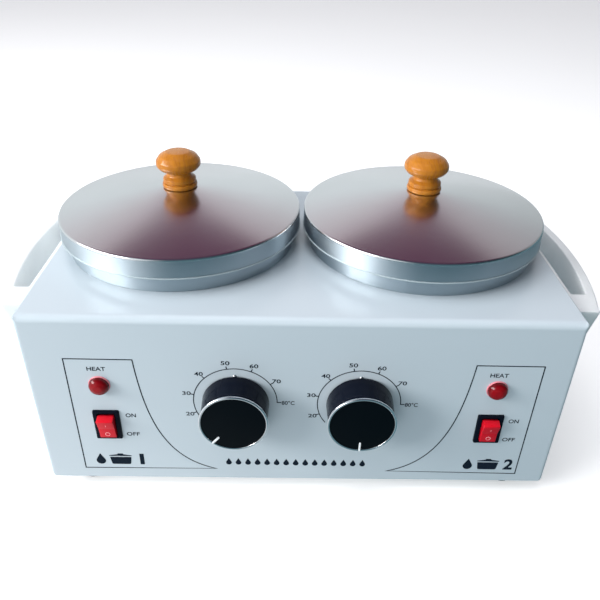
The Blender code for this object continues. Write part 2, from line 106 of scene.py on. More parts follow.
def mesh_object(name, bm, place=(0, 0, 0), turn=(0, 0, 0)):
    """Make an object in metres from a shape in millimetres."""
    bmesh.ops.scale(bm, vec=(MM, MM, MM), verts=bm.verts)
    bmesh.ops.recalc_face_normals(bm, faces=bm.faces)
    mesh = bpy.data.meshes.new(name)
    bm.to_mesh(mesh)
    bm.free()
    item = bpy.data.objects.new(name, mesh)
    item.location = Vector(place) * MM
    item.rotation_euler = turn
    bpy.context.scene.collection.objects.link(item)
    return item


def finish_mesh(name, bm, material, body, nodes=(), place=(0, 0, 0), turn=(0, 0, 0),
                sharp=35.0):
    """Make a smooth-shaded object, and say what it rides on and stands for."""
    item = mesh_object(name, bm, place, turn)
    item.data.shade_smooth()
    item.data.set_sharp_from_angle(angle=radians(sharp))
    item.data.materials.append(material)
    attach(item, body)
    if nodes:
        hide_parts(*nodes)
    return item


def arc_corner(before, corner, after, radius, steps):
    """Points that round one corner of an outline."""
    corner = Vector(corner)
    to_before = Vector(before) - corner
    to_after = Vector(after) - corner
    half = to_before.angle(to_after) / 2
    reach = radius / max(sin(half) / cos(half), 1e-6)
    reach = min(reach, to_before.length * 0.49, to_after.length * 0.49)
    start = corner + to_before.normalized() * reach
    end = corner + to_after.normalized() * reach
    points = []
    for index in range(steps + 1):
        share = index / steps
        points.append(start.lerp(corner, share).lerp(corner.lerp(end, share), share))
    return points


def rounded(outline, closed=True, steps=4):
    """Round an outline of (x, y, corner radius) points."""
    points = []
    count = len(outline)
    for index, (x, y, radius) in enumerate(outline):
        is_end = not closed and index in (0, count - 1)
        if radius == 0 or is_end:
            points.append(Vector((x, y)))
            continue
        before = outline[index - 1][:2]
        after = outline[(index + 1) % count][:2]
        points += arc_corner(before, (x, y), after, radius, steps)
    return points


def turned(outline, steps, closed=None, corner_steps=4):
    """Spin an outline of (radius, height, corner radius) points about Z."""
    if closed is None:
        closed = outline[0][0] > 0
    profile = rounded(outline, closed, corner_steps)
    bm = bmesh.new()
    points = [bm.verts.new((point.x, 0, point.y)) for point in profile]
    pairs = list(zip(points, points[1:]))
    if closed:
        pairs.append((points[-1], points[0]))
    edges = [bm.edges.new(pair) for pair in pairs]
    bmesh.ops.spin(
        bm, geom=points + edges, cent=(0, 0, 0), axis=(0, 0, 1), angle=2 * pi, steps=steps)
    bmesh.ops.remove_doubles(bm, verts=bm.verts, dist=0.0005)
    return bm


def box_into(bm, low, high):
    low, high = Vector(low), Vector(high)
    size = Matrix.Diagonal((*(high - low), 1.0))
    bmesh.ops.create_cube(bm, size=1.0, matrix=Matrix.Translation((low + high) / 2) @ size)


def rod_into(bm, start, end, radius, steps=24):
    start, end = Vector(start), Vector(end)
    along = end - start
    turn = along.to_track_quat("Z", "Y").to_matrix().to_4x4()
    bmesh.ops.create_cone(
        bm, cap_ends=True, segments=steps, radius1=radius, radius2=radius,
        depth=along.length, matrix=Matrix.Translation((start + end) / 2) @ turn)


def prism_into(bm, outline, low, high):
    """Extrude a closed outline of (x, y) points from one height to another."""
    face = bm.faces.new([bm.verts.new((point[0], point[1], low)) for point in outline])
    grown = bmesh.ops.extrude_face_region(bm, geom=[face])
    raised = [item for item in grown["geom"] if isinstance(item, bmesh.types.BMVert)]
    bmesh.ops.translate(bm, vec=(0, 0, high - low), verts=raised)


def rounded_box(low, high, radius, corner_steps=4, edge=0.0, edge_steps=2):
    """A plate whose upright corners have one radius and whose front rim has another."""
    outline = [(low[0], low[1], radius), (high[0], low[1], radius), (high[0], high[1], radius),
               (low[0], high[1], radius)]
    bm = bmesh.new()
    prism_into(bm, rounded(outline, steps=corner_steps), low[2], high[2])
    if edge:
        rim = [item for item in bm.edges if all(abs(v.co.z - high[2]) < 1e-6 for v in item.verts)]
        bmesh.ops.bevel(bm, geom=rim, offset=edge, segments=edge_steps, profile=0.5,
                        affect="EDGES")
    return bm


def apply_modifiers(item, sharp=35.0):
    """Keep the evaluated mesh and drop the modifiers."""
    graph = bpy.context.evaluated_depsgraph_get()
    mesh = bpy.data.meshes.new_from_object(item.evaluated_get(graph))
    item.modifiers.clear()
    item.data = mesh
    mesh.shade_smooth()
    mesh.set_sharp_from_angle(angle=radians(sharp))


def cut_with(item, *cutters, sharp=35.0):
    """Cut helper shapes out of an object, and remove them."""
    for other in cutters:
        modifier = item.modifiers.new(other.name, "BOOLEAN")
        modifier.operation = "DIFFERENCE"
        modifier.solver = "EXACT"
        modifier.object = other
    bpy.context.view_layer.update()
    apply_modifiers(item, sharp)
    for other in cutters:
        bpy.data.objects.remove(other)


def round_edges(item, width, segments, angle):
    """Round the edges where faces meet at more than an angle."""
    edges = item.modifiers.new("edges", "BEVEL")
    edges.width = width * MM
    edges.segments = segments
    edges.limit_method = "ANGLE"
    edges.angle_limit = radians(angle)


def weighted_normals(item):
    modifier = item.modifiers.new("even_shading", "WEIGHTED_NORMAL")
    modifier.keep_sharp = True


# ---------------------------------------------------------------- material helpers

class NodeTree:
    """A short way to add nodes and link them."""

    def __init__(self, tree):
        self.tree = tree

    def node(self, kind, **inputs):
        made = self.tree.nodes.new(kind)
        for socket, value in inputs.items():
            self.feed(made.inputs[socket.replace("_", " ")], value)
        return made

    def feed(self, socket, value):
        if isinstance(value, bpy.types.NodeSocket):
            self.tree.links.new(value, socket)
        else:
            socket.default_value = value

    def math(self, operation, first, second=0.0):
        made = self.tree.nodes.new("ShaderNodeMath")
        made.operation = operation
        self.feed(made.inputs[0], first)
        self.feed(made.inputs[1], second)
        return made.outputs["Value"]

    def spread(self, value, low, high, from_low=0.3, from_high=0.7):
        """Map a texture's value to a range."""
        return self.node("ShaderNodeMapRange", Value=value, From_Min=from_low,
                         From_Max=from_high, To_Min=low, To_Max=high).outputs["Result"]

    def ramp(self, value, *stops):
        made = self.node("ShaderNodeValToRGB", Fac=value)
        elements = made.color_ramp.elements
        while len(elements) < len(stops):
            elements.new(0.5)
        for element, (position, colour) in zip(elements, stops):
            element.position = position
            element.color = (*colour, 1.0)
        return made.outputs["Color"]


class Nodes(NodeTree):
    """The nodes of one procedural material."""

    def __init__(self, name, colour, roughness, metallic=0.0, **settings):
        self.material = bpy.data.materials.new(name)
        self.material.use_nodes = True
        super().__init__(self.material.node_tree)
        self.shader = self.tree.nodes["Principled BSDF"]
        self.shader.inputs["Base Color"].default_value = (*colour, 1.0)
        self.shader.inputs["Roughness"].default_value = roughness
        self.shader.inputs["Metallic"].default_value = metallic
        for socket, value in settings.items():
            self.shader.inputs[socket.replace("_", " ")].default_value = value
        self.coordinates = self.tree.nodes.new("ShaderNodeTexCoord").outputs["Object"]

    def stretched(self, x, y, z):
        """Object coordinates in metres, scaled on each axis."""
        made = self.node("ShaderNodeMapping", Vector=self.coordinates)
        made.inputs["Scale"].default_value = (x, y, z)
        return made.outputs["Vector"]

    def noise(self, scale, detail=3.0, roughness=0.5, vector=None):
        return self.node("ShaderNodeTexNoise", Vector=vector or self.coordinates, Scale=scale,
                         Detail=detail, Roughness=roughness).outputs["Fac"]

    def radius(self):
        """Distance from the object's Z axis, in metres."""
        parts = self.node("ShaderNodeSeparateXYZ", Vector=self.coordinates)
        squares = self.math("ADD", self.math("POWER", parts.outputs["X"], 2.0),
                            self.math("POWER", parts.outputs["Y"], 2.0))
        return self.math("SQRT", squares)

    def height(self):
        return self.node("ShaderNodeSeparateXYZ", Vector=self.coordinates).outputs["Z"]

    def around_axis(self):
        """The direction of turning marks, for stretched highlights."""
        tangent = self.tree.nodes.new("ShaderNodeTangent")
        tangent.direction_type = "RADIAL"
        tangent.axis = "Z"
        return tangent.outputs["Tangent"]

    def rings(self, value, scale, detail=2.0):
        """One-dimensional noise, for marks that run round a turned piece."""
        made = self.tree.nodes.new("ShaderNodeTexNoise")
        made.noise_dimensions = "1D"
        self.feed(made.inputs["W"], value)
        made.inputs["Scale"].default_value = scale
        made.inputs["Detail"].default_value = detail
        return made.outputs["Fac"]

    def bump(self, value, distance, strength=1.0, under=None):
        made = self.node("ShaderNodeBump", Height=value, Distance=distance, Strength=strength)
        if under:
            self.tree.links.new(under, made.inputs["Normal"])
        return made.outputs["Normal"]

    def use(self, **inputs):
        for socket, value in inputs.items():
            self.tree.links.new(value, self.shader.inputs[socket.replace("_", " ")])
        return self.material


# ---------------------------------------------------------------- materials

def enamel():
    """Glossy stoving enamel with a little orange peel."""
    n = Nodes("white_enamel", (0.53, 0.605, 0.66), 0.28, Coat_Weight=0.2, Coat_Roughness=0.15)
    shade = n.ramp(n.noise(3.0, 1.0), (0.0, (0.522, 0.597, 0.652)), (1.0, (0.546, 0.619, 0.672)))
    gloss = n.spread(n.noise(9.0, 1.0), 0.27, 0.29, 0.0, 1.0)
    peel = n.bump(n.noise(380.0, 0.0), 0.00001, 0.2)
    return n.use(Base_Color=shade, Roughness=gloss, Normal=peel)


def spun_aluminium(name, colour, low, high):
    """Satin aluminium with the fine rings that spinning leaves under its matt anodising."""
    n = Nodes(name, colour, (low + high) / 2, 1.0, Anisotropic=0.55, Anisotropic_Rotation=0.25)
    lathe = n.rings(n.radius(), 2600.0)
    drawn = n.rings(n.height(), 2600.0)
    grain = n.noise(3200.0, 2.0)
    mixed = n.math("ADD", n.math("MULTIPLY", n.math("ADD", lathe, drawn), 0.15),
                   n.math("MULTIPLY", grain, 0.7))
    gloss = n.spread(mixed, low, high, 0.35, 0.65)
    dark = tuple(part * 0.95 for part in colour)
    shade = n.ramp(n.noise(26.0, 4.0), (0.3, dark), (0.7, colour))
    scratches = n.noise(1.0, 1.0, vector=n.stretched(60.0, 2600.0, 60.0))
    marks = n.spread(scratches, 0.0, 1.0, 0.72, 0.80)
    texture = n.bump(mixed, 0.00001, 0.25)
    return n.use(Base_Color=shade, Roughness=gloss, Tangent=n.around_axis(),
                 Normal=n.bump(marks, 0.000006, 0.15, texture))


def spun_skirt():
    """Duller, darker aluminium. The darker colour is painted shade for the lid's upright skirts and
    the collars; the fine turning lines draw highlights out along its height.
    """
    # painted shade: the same aluminium as the lid's top, only darker, for its upright sides
    n = Nodes("shaded_skirt_aluminium", (0.50, 0.57, 0.62), 0.42, 1.0, Anisotropic=0.8,
              Anisotropic_Rotation=0.25)
    lines = n.rings(n.height(), 3000.0)
    grain = n.noise(2600.0, 2.0)
    mixed = n.math("ADD", n.math("MULTIPLY", lines, 0.5), n.math("MULTIPLY", grain, 0.5))
    shade = n.ramp(n.noise(26.0, 4.0), (0.3, (0.47, 0.54, 0.59)), (0.7, (0.51, 0.58, 0.63)))
    return n.use(Base_Color=shade, Roughness=n.spread(mixed, 0.36, 0.48, 0.35, 0.65),
                 Tangent=n.around_axis(), Normal=n.bump(mixed, 0.00001, 0.25))


def zinc():
    n = Nodes("zinc_steel", (0.62, 0.63, 0.64), 0.35, 1.0)
    shade = n.ramp(n.noise(140.0, 4.0), (0.3, (0.50, 0.52, 0.54)), (0.7, (0.68, 0.69, 0.69)))
    brushed = n.noise(1.0, 2.0, vector=n.stretched(90.0, 2600.0, 900.0))
    return n.use(Base_Color=shade, Roughness=n.spread(brushed, 0.26, 0.45),
                 Normal=n.bump(brushed, 0.00001, 0.4))


def chrome():
    n = Nodes("chrome_trim", (0.86, 0.86, 0.88), 0.08, 1.0)
    haze = n.noise(900.0, 2.0)
    return n.use(Roughness=n.spread(haze, 0.05, 0.13))


def varnished_wood():
    """Turned hardwood: grain lines that run across the knob, under clear varnish."""
    n = Nodes("varnished_wood", (0.45, 0.17, 0.03), 0.35, Coat_Weight=0.35,
              Coat_Roughness=0.1, Specular_IOR_Level=0.15)
    warp = n.node("ShaderNodeMixRGB", Fac=0.012, Color1=n.coordinates)
    warp.blend_type = "ADD"
    warped = n.node("ShaderNodeTexNoise", Vector=n.coordinates, Scale=45.0)
    n.feed(warp.inputs["Color2"], warped.outputs["Color"])
    stretch = n.node("ShaderNodeMapping", Vector=warp.outputs["Color"])
    stretch.inputs["Scale"].default_value = (420.0, 60.0, 60.0)
    grain = n.noise(1.0, 3.0, 0.6, stretch.outputs["Vector"])
    flecks = n.noise(1.0, 2.0, vector=n.stretched(2400.0, 220.0, 220.0))
    tone = n.math("ADD", n.math("MULTIPLY", grain, 0.75), n.math("MULTIPLY", flecks, 0.25))
    shade = n.ramp(tone, (0.34, (0.36, 0.120, 0.012)), (0.5, (0.44, 0.16, 0.017)),
                   (0.66, (0.49, 0.19, 0.022)))
    return n.use(Base_Color=shade, Roughness=n.spread(grain, 0.34, 0.22),
                 Normal=n.bump(tone, 0.00003, 0.25))


def moulded(name, colour, roughness, grain=1500.0, depth=0.00001, **settings):
    """Injection-moulded plastic with a fine texture and a slight change of tone."""
    n = Nodes(name, colour, roughness, **settings)
    dark = tuple(part * 0.9 for part in colour)
    shade = n.ramp(n.noise(25.0, 3.0), (0.35, dark), (0.65, colour))
    fine = n.noise(grain, 2.0)
    return n.use(Base_Color=shade, Roughness=n.spread(fine, roughness * 0.85, roughness * 1.2),
                 Normal=n.bump(fine, depth, 0.4))


def rubber():
    n = Nodes("black_rubber", (0.03, 0.03, 0.03), 0.75)
    dust = n.noise(90.0, 5.0)
    shade = n.ramp(dust, (0.4, (0.018, 0.018, 0.018)), (0.75, (0.055, 0.053, 0.05)))
    return n.use(Base_Color=shade, Roughness=n.spread(dust, 0.65, 0.85),
                 Normal=n.bump(n.noise(1800.0, 2.0), 0.00003, 0.5))


def lens_red():
    """Deep red plastic, ribbed inside. Its red is painted darker towards the edge as painted shade
    of the dome, and its rim is painted pale pink as a painted glow of light that has passed through
    the lens.
    """
    n = Nodes("red_lens", (0.30, 0.003, 0.008), 0.12, Specular_IOR_Level=0.3)
    painted_glow_scale = 140.0
    reach = n.math("MULTIPLY", n.radius(), painted_glow_scale)
    # painted shade and painted glow: the red darkens towards the dome's edge as painted shade, and
    # the last stop paints the rim pale pink as glow from light through the lens
    depth = n.ramp(reach, (0.0, (0.32, 0.003, 0.007)), (0.62, (0.20, 0.002, 0.005)),
                   (0.785, (0.10, 0.001, 0.003)), (0.80, (0.80, 0.26, 0.30)))
    cells = n.node("ShaderNodeTexVoronoi", Vector=n.coordinates, Scale=420.0)
    return n.use(Base_Color=depth, Roughness=n.spread(n.noise(500.0, 1.0), 0.05, 0.1),
                 Normal=n.bump(cells.outputs["Distance"], 0.00012, 0.35))


def ink(name, colour):
    """Screen-printed ink."""
    n = Nodes(name, colour, 0.5, Specular_IOR_Level=0.02)
    thin = tuple(part * 1.3 + 0.002 for part in colour)
    shade = n.ramp(n.noise(900.0, 3.0), (0.35, colour), (0.72, thin))
    return n.use(Base_Color=shade, Roughness=n.spread(n.noise(700.0), 0.35, 0.5))


def fibre():
    n = Nodes("insulation_wool", (0.80, 0.78, 0.70), 0.95, Sheen_Weight=0.3)
    mat = n.noise(500.0, 6.0, 0.7)
    shade = n.ramp(mat, (0.3, (0.60, 0.57, 0.48)), (0.7, (0.86, 0.84, 0.78)))
    return n.use(Base_Color=shade, Normal=n.bump(mat, 0.0006, 0.8))


def mica():
    n = Nodes("heater_mica", (0.5, 0.42, 0.28), 0.5)
    sheet = n.noise(1.0, 4.0, vector=n.stretched(120.0, 120.0, 900.0))
    shade = n.ramp(sheet, (0.35, (0.38, 0.30, 0.17)), (0.65, (0.60, 0.52, 0.36)))
    return n.use(Base_Color=shade, Roughness=n.spread(sheet, 0.4, 0.65))


def brass():
    n = Nodes("brass_pin", (0.78, 0.60, 0.30), 0.25, 1.0)
    return n.use(Roughness=n.spread(n.noise(1200.0), 0.18, 0.34))


MATERIALS = {
    "white_enamel": enamel(),
    "zinc_steel": zinc(),
    "satin_aluminium": spun_aluminium("satin_aluminium", (0.77, 0.775, 0.79), 0.19, 0.25),
    # painted shade: a darker copy of the lid aluminium for the upright skirts and collars
    "shaded_skirt_aluminium": spun_skirt(),
    # painted highlight: a brighter, more diffuse copy of the lid aluminium on the hem lip, so it
    # shows as a thin bright line
    "painted_highlight_lip": moulded("painted_highlight_lip", (0.52, 0.60, 0.63), 0.42, Metallic=0.5),
    "pot_aluminium": spun_aluminium("pot_aluminium", (0.80, 0.80, 0.80), 0.28, 0.40),
    "varnished_wood": varnished_wood(),
    "grey_plastic": moulded("grey_plastic", (0.86, 0.89, 0.90), 0.32, Subsurface_Weight=0.5,
                            Subsurface_Radius=(1.0, 1.0, 1.0), Subsurface_Scale=0.006),
    "black_plastic": moulded("black_plastic", (0.004, 0.006, 0.013), 0.2, 1200.0, 0.000004,
                             Specular_IOR_Level=0.06),
    "dial_face": moulded("dial_face", (0.002, 0.004, 0.006), 0.35, 1600.0, 0.00001,
                         Specular_IOR_Level=0.06),
    "chrome_trim": chrome(),
    "red_rocker": moulded("red_rocker", (0.70, 0.006, 0.02), 0.32, 1500.0, 0.000006,
                          Specular_IOR_Level=0.25, Subsurface_Weight=0.1,
                          Subsurface_Scale=0.003),
    "red_lens": lens_red(),
    "black_rubber": rubber(),
    "brass_pin": brass(),
    "heater_mica": mica(),
    "insulation_wool": fibre(),
    "terminal_plastic": moulded("terminal_plastic", (0.80, 0.77, 0.68), 0.5),
    "navy_ink": ink("navy_ink", (0.008, 0.014, 0.024)),
    "white_ink": ink("white_ink", (0.80, 0.82, 0.84)),
    "red_ink": ink("rocker_mark_ink", (0.90, 0.42, 0.45)),
}


def dress_cad_nodes():
    """Give every carried-over CAD node the procedural material of its slot."""
    for part in frame["record"]["subparts"]:
        item = frame["nodes"][part["node"]]
        item.data.materials.clear()
        item.data.materials.append(MATERIALS[part["material_slot"]])


# ---------------------------------------------------------------- housing

def pot_place(name):
    middle = node_middle(name + "_wax_pot")
    return Vector((middle.x, middle.y, 0))


def make_housing():
    """The folded shell: round bends along the top, tight folds at the sides, a turned-in foot."""
    wall, bend, fold, foot_fold, flange, flange_height = 1.5, 4.2, 1.1, 4.0, 26.0, 1.8
    pot_hole, shaft_hole, shortest_fold = 63.0, 5.0, 50.0
    switch_half, inlet_half = (6.7, 9.8), (13.8, 10.3)
    bm = bmesh.new()
    weight = bm.edges.layers.float.new("bevel_weight_edge")
    box_into(bm, (-SIDE_X, FRONT_Y, BASE_Z), (SIDE_X, REAR_Y, TOP_Z))

    def edges_along(axis, test):
        return [edge for edge in bm.edges
                if abs(edge.verts[0].co[axis] - edge.verts[1].co[axis]) > shortest_fold
                and all(test(vert.co) for vert in edge.verts)]

    def is_top(place):
        return place.z > TOP_Z - 0.01

    sharp_folds = edges_along(2, lambda place: True) + edges_along(1, is_top)
    for edges, radius in ((edges_along(0, is_top), bend), (sharp_folds, fold),
                          (edges_along(1, lambda place: not is_top(place)), foot_fold)):
        for edge in edges:
            edge[weight] = radius / bend
    shell = finish_mesh("housing", bm, MATERIALS["white_enamel"], "housing",
                        ["housing_shell"])
    rounding = shell.modifiers.new("folds", "BEVEL")
    rounding.width = bend * MM
    rounding.segments = 6
    rounding.limit_method = "WEIGHT"
    apply_modifiers(shell)

    cavity = bmesh.new()
    box_into(cavity, (wall - SIDE_X, FRONT_Y + wall, BASE_Z + flange_height + wall),
             (SIDE_X - wall, REAR_Y - wall, TOP_Z - wall))
    mouth = bmesh.new()
    reach = wall + flange
    box_into(mouth, (reach - SIDE_X, FRONT_Y + reach, BASE_Z - 1),
             (SIDE_X - reach, REAR_Y - reach, BASE_Z + 6))
    recess = bmesh.new()
    box_into(recess, (wall - SIDE_X, FRONT_Y + wall, BASE_Z - 2),
             (SIDE_X - wall, REAR_Y - wall, BASE_Z + flange_height))
    holes = bmesh.new()
    for name, _ in SIDES:
        pot = pot_place(name)
        rod_into(holes, (pot.x, pot.y, TOP_Z - 5), (pot.x, pot.y, TOP_Z + 5), pot_hole, 96)
        switch = node_middle(name + "_switch_body")
        box_into(holes, (switch.x - switch_half[0], FRONT_Y - 2, switch.z - switch_half[1]),
                 (switch.x + switch_half[0], FRONT_Y + 4, switch.z + switch_half[1]))
        for node in ("_control_knob", "_lamp_lens"):
            middle = node_middle(name + node)
            rod_into(holes, (middle.x, FRONT_Y - 2, middle.z), (middle.x, FRONT_Y + 4, middle.z),
                     shaft_hole)
    inlet = node_middle("inlet_socket")
    box_into(holes, (inlet.x - inlet_half[0], REAR_Y - 4, inlet.z - inlet_half[1]),
             (inlet.x + inlet_half[0], REAR_Y + 2, inlet.z + inlet_half[1]))
    shapes = (("cavity", cavity), ("mouth", mouth), ("recess", recess), ("holes", holes))
    cut_with(shell, *[mesh_object(name, bm) for name, bm in shapes], sharp=30.0)
    weighted_normals(shell)


def make_feet():
    for corner in CORNERS:
        low, high = node_box("foot_" + corner)
        middle = (low + high) / 2
        radius, top = (high.x - low.x) / 2, high.z
        screw_hole, head_hole, head_seat = 2.2, 4.5, 3.5
        foot = [(screw_hole, head_seat, 0), (head_hole, head_seat, 0), (head_hole, 0, 0.3),
                (radius - 0.6, 0, 0.6), (radius, top * 0.5, 0.8), (radius - 0.7, top, 0.3),
                (screw_hole, top, 0)]
        finish_mesh("rubber_foot_" + corner, turned(foot, 48), MATERIALS["black_rubber"],
                    "housing", ["foot_" + corner], (middle.x, middle.y, 0))


# ---------------------------------------------------------------- pots, collars and lids

def make_well(name):
    place = pot_place(name)
    low, high = node_box(name + "_heater_well")
    outer, bore, sheet = 61.8, 60.3, 1.5
    flange, floor = (high.x - low.x) / 2, low.z + 2
    well = [(0, floor, 0), (bore, floor, 2.5), (bore, high.z, 0.8), (flange, high.z, 0),
            (flange, high.z - sheet, 0), (outer, high.z - sheet, 0), (outer, low.z, 2.5),
            (0, low.z, 0)]
    finish_mesh(name + "_well", turned(well, 96), MATERIALS["pot_aluminium"], "housing",
                [name + "_heater_well"], place)

    low, high = node_box(name + "_collar")
    radius, mouth = (high.x - low.x) / 2, 61.0
    collar = [(mouth, high.z - sheet, 0.3), (mouth, high.z, 0.5), (radius, high.z, 1.6),
              (radius, TOP_Z + SEAT, 0.4), (radius - sheet, TOP_Z + SEAT, 0),
              (radius - sheet, high.z - sheet, 0.5)]
    # the collar takes the darker aluminium, which is painted shade
    finish_mesh(name + "_pot_collar", turned(collar, 128), MATERIALS["shaded_skirt_aluminium"],
                "housing", [name + "_collar"], place)


def make_pot(name):
    place = pot_place(name)
    low, high = node_box(name + "_wax_pot")
    radius, rim, bore = 58.5, (high.x - low.x) / 2, 57.0
    floor, rim_bottom = low.z + 1.8, high.z - 2
    pot = [(0, floor, 0), (bore, floor, 5.0), (bore, high.z - 0.3, 1.4),
           (rim, high.z, 0.9), (rim, rim_bottom, 0.9), (radius, rim_bottom, 0.6),
           (radius, low.z, 6.0), (0, low.z, 0)]
    finish_mesh(name + "_pot", turned(pot, 128, corner_steps=6), MATERIALS["pot_aluminium"],
                name + "_pot", [name + "_wax_pot"], place)


def make_lid(name):
    place = pot_place(name)
    low, high = node_box(name + "_lid")
    hem, hem_z, top = (high.x - low.x) / 2, low.z, high.z
    skirt, rim_z, lip, sheet, crown, hole = hem - 0.5, high.z - 12.0, 0.8, 1.2, 11.0, 1.8
    inside, under = skirt - sheet, top - sheet
    lid = [(hole, top, 0), (crown, top, 3.0), (skirt, rim_z + 0.1, 1.5),
           (skirt, hem_z + lip, 0.1), (hem, hem_z + lip - 0.1, 0.15), (hem, hem_z, 0.2),
           (inside, hem_z, 0.3), (inside, rim_z - 1.6, 1.0), (crown, under, 3.0),
           (hole, under, 0)]
    spun = finish_mesh(name + "_spun_lid", turned(lid, 160), MATERIALS["satin_aluminium"],
                       name + "_lid", [name + "_lid"], place, sharp=50.0)
    spun.data.materials.append(MATERIALS["shaded_skirt_aluminium"])
    spun.data.materials.append(MATERIALS["painted_highlight_lip"])
    for face in spun.data.polygons:
        # faces of the hem lip take the brighter aluminium, a painted highlight line
        if face.center.z < (hem_z + lip) * MM:
            face.material_index = 2
        # faces of the upright skirt take the darker aluminium, painted shade
        elif face.center.z < (rim_z - 0.9) * MM:
            face.material_index = 1

    low, high = node_box(name + "_lid_knob")
    base, radius = low.z, (high.x - low.x) / 2
    knob = [(0, base + 12.8, 0), (hole, base + 12.8, 0), (hole, base, 0), (10.2, base, 0.5),
            (10.6, base + 1.4, 0.8), (10.3, base + 2.7, 0.5), (9.1, base + 3.0, 0.3),
            (9.2, base + 3.5, 0.3), (10.0, base + 4.0, 0.5), (9.8, base + 5.7, 0.8),
            (7.7, base + 7.4, 1.6), (7.2, base + 8.9, 1.2), (8.6, base + 10.4, 1.5),
            (11.6, base + 11.3, 1.8), (radius, base + 13.8, 2.5), (radius - 0.2, base + 16.6, 2.5),
            (radius - 2.4, base + 19.6, 3.0), (7.0, base + 21.7, 4.0), (0, high.z, 0)]
    finish_mesh(name + "_wooden_knob", turned(knob, 64), MATERIALS["varnished_wood"],
                name + "_lid", [name + "_lid_knob"], place, sharp=60.0)


# ---------------------------------------------------------------- control panel

def panel_place(node):
    """A place on the panel's face, in front of a CAD node's middle."""
    middle = node_middle(node)
    return Vector((middle.x, FRONT_Y, middle.z))


def make_dial(name):
    """A gloss black knob with a bright ring and a white pointer line."""
    place = panel_place(name + "_control_knob")
    body, slot = name + "_dial", "black_plastic"
    low, _ = node_box(name + "_knob_ring")
    radius, front = place.x - low.x, FRONT_Y - low.y
    face, back, hub, shaft, shaft_end = front - 1.6, 0.8, 9.0, 3.3, 15.2
    knob = [(0, face, 0), (radius - 1.4, face, 0.2), (radius - 0.9, face - 0.5, 0.2),
            (radius - 0.4, face - 0.9, 0.3), (radius - 0.3, face - 1.7, 0.4),
            (radius - 0.7, face - 2.3, 0.4), (radius - 0.15, back, 0.4), (hub, back, 0),
            (hub, back + 4.0, 0), (shaft, back + 4.0, 0), (shaft, shaft_end, 0),
            (0, shaft_end, 0)]
    finish_mesh(name + "_dial_knob", turned(knob, 96), MATERIALS["black_plastic"], body,
                [name + "_control_knob"], place, FACING_FRONT)
    seat = face + 0.05
    ring = [(radius - 1.3, seat, 0), (radius - 0.1, seat, 0.3),
            (radius, front - 0.5, 0.5), (radius - 0.6, front, 0.5), (radius - 1.3, front - 0.3, 0.2)]
    finish_mesh(name + "_bright_ring", turned(ring, 128), MATERIALS["chrome_trim"], body,
                [name + "_knob_ring"], place, FACING_FRONT)
    cap_radius = radius - 1.45
    cap = [(0, seat, 0), (cap_radius, seat, 0), (cap_radius, front - 0.55, 0.3),
           (0, front - 0.45, 0)]
    finish_mesh(name + "_dial_cap", turned(cap, 96), MATERIALS["dial_face"], body,
                [name + "_knob_face"], place, FACING_FRONT)

    half_width, inner, outer, angle = 0.5, 12.4, radius - 0.45, radians(POINTER_ANGLES[name])
    line = [(-half_width, inner, 0.3), (half_width, inner, 0.3), (half_width, outer, 0.2),
            (-half_width, outer, 0.2)]
    bm = bmesh.new()
    prism_into(bm, rounded(line), front - 0.5, front + 0.03)
    bmesh.ops.rotate(bm, matrix=Matrix.Rotation(-angle, 3, "Z"), verts=bm.verts)
    finish_mesh(name + "_pointer", bm, MATERIALS["white_ink"], body, (), place,
                FACING_FRONT)


def make_lamp(name):
    place = panel_place(name + "_lamp_lens")
    low, high = node_box(name + "_lamp_lens")
    radius, front = (high.x - low.x) / 2, FRONT_Y - low.y
    dome = radius - 0.4
    lens = [(0, SEAT, 0), (radius, SEAT, 0.1), (radius, 0.7, 0.2), (dome, 0.9, 0.2),
            (dome - 0.2, 2.6, 1.2), (dome - 1.3, 4.0, 2.0), (2.4, front - 0.15, 1.8),
            (0, front, 0)]
    finish_mesh(name + "_lens", turned(lens, 64), MATERIALS["red_lens"], "housing",
                [name + "_lamp_lens"], place, FACING_FRONT)


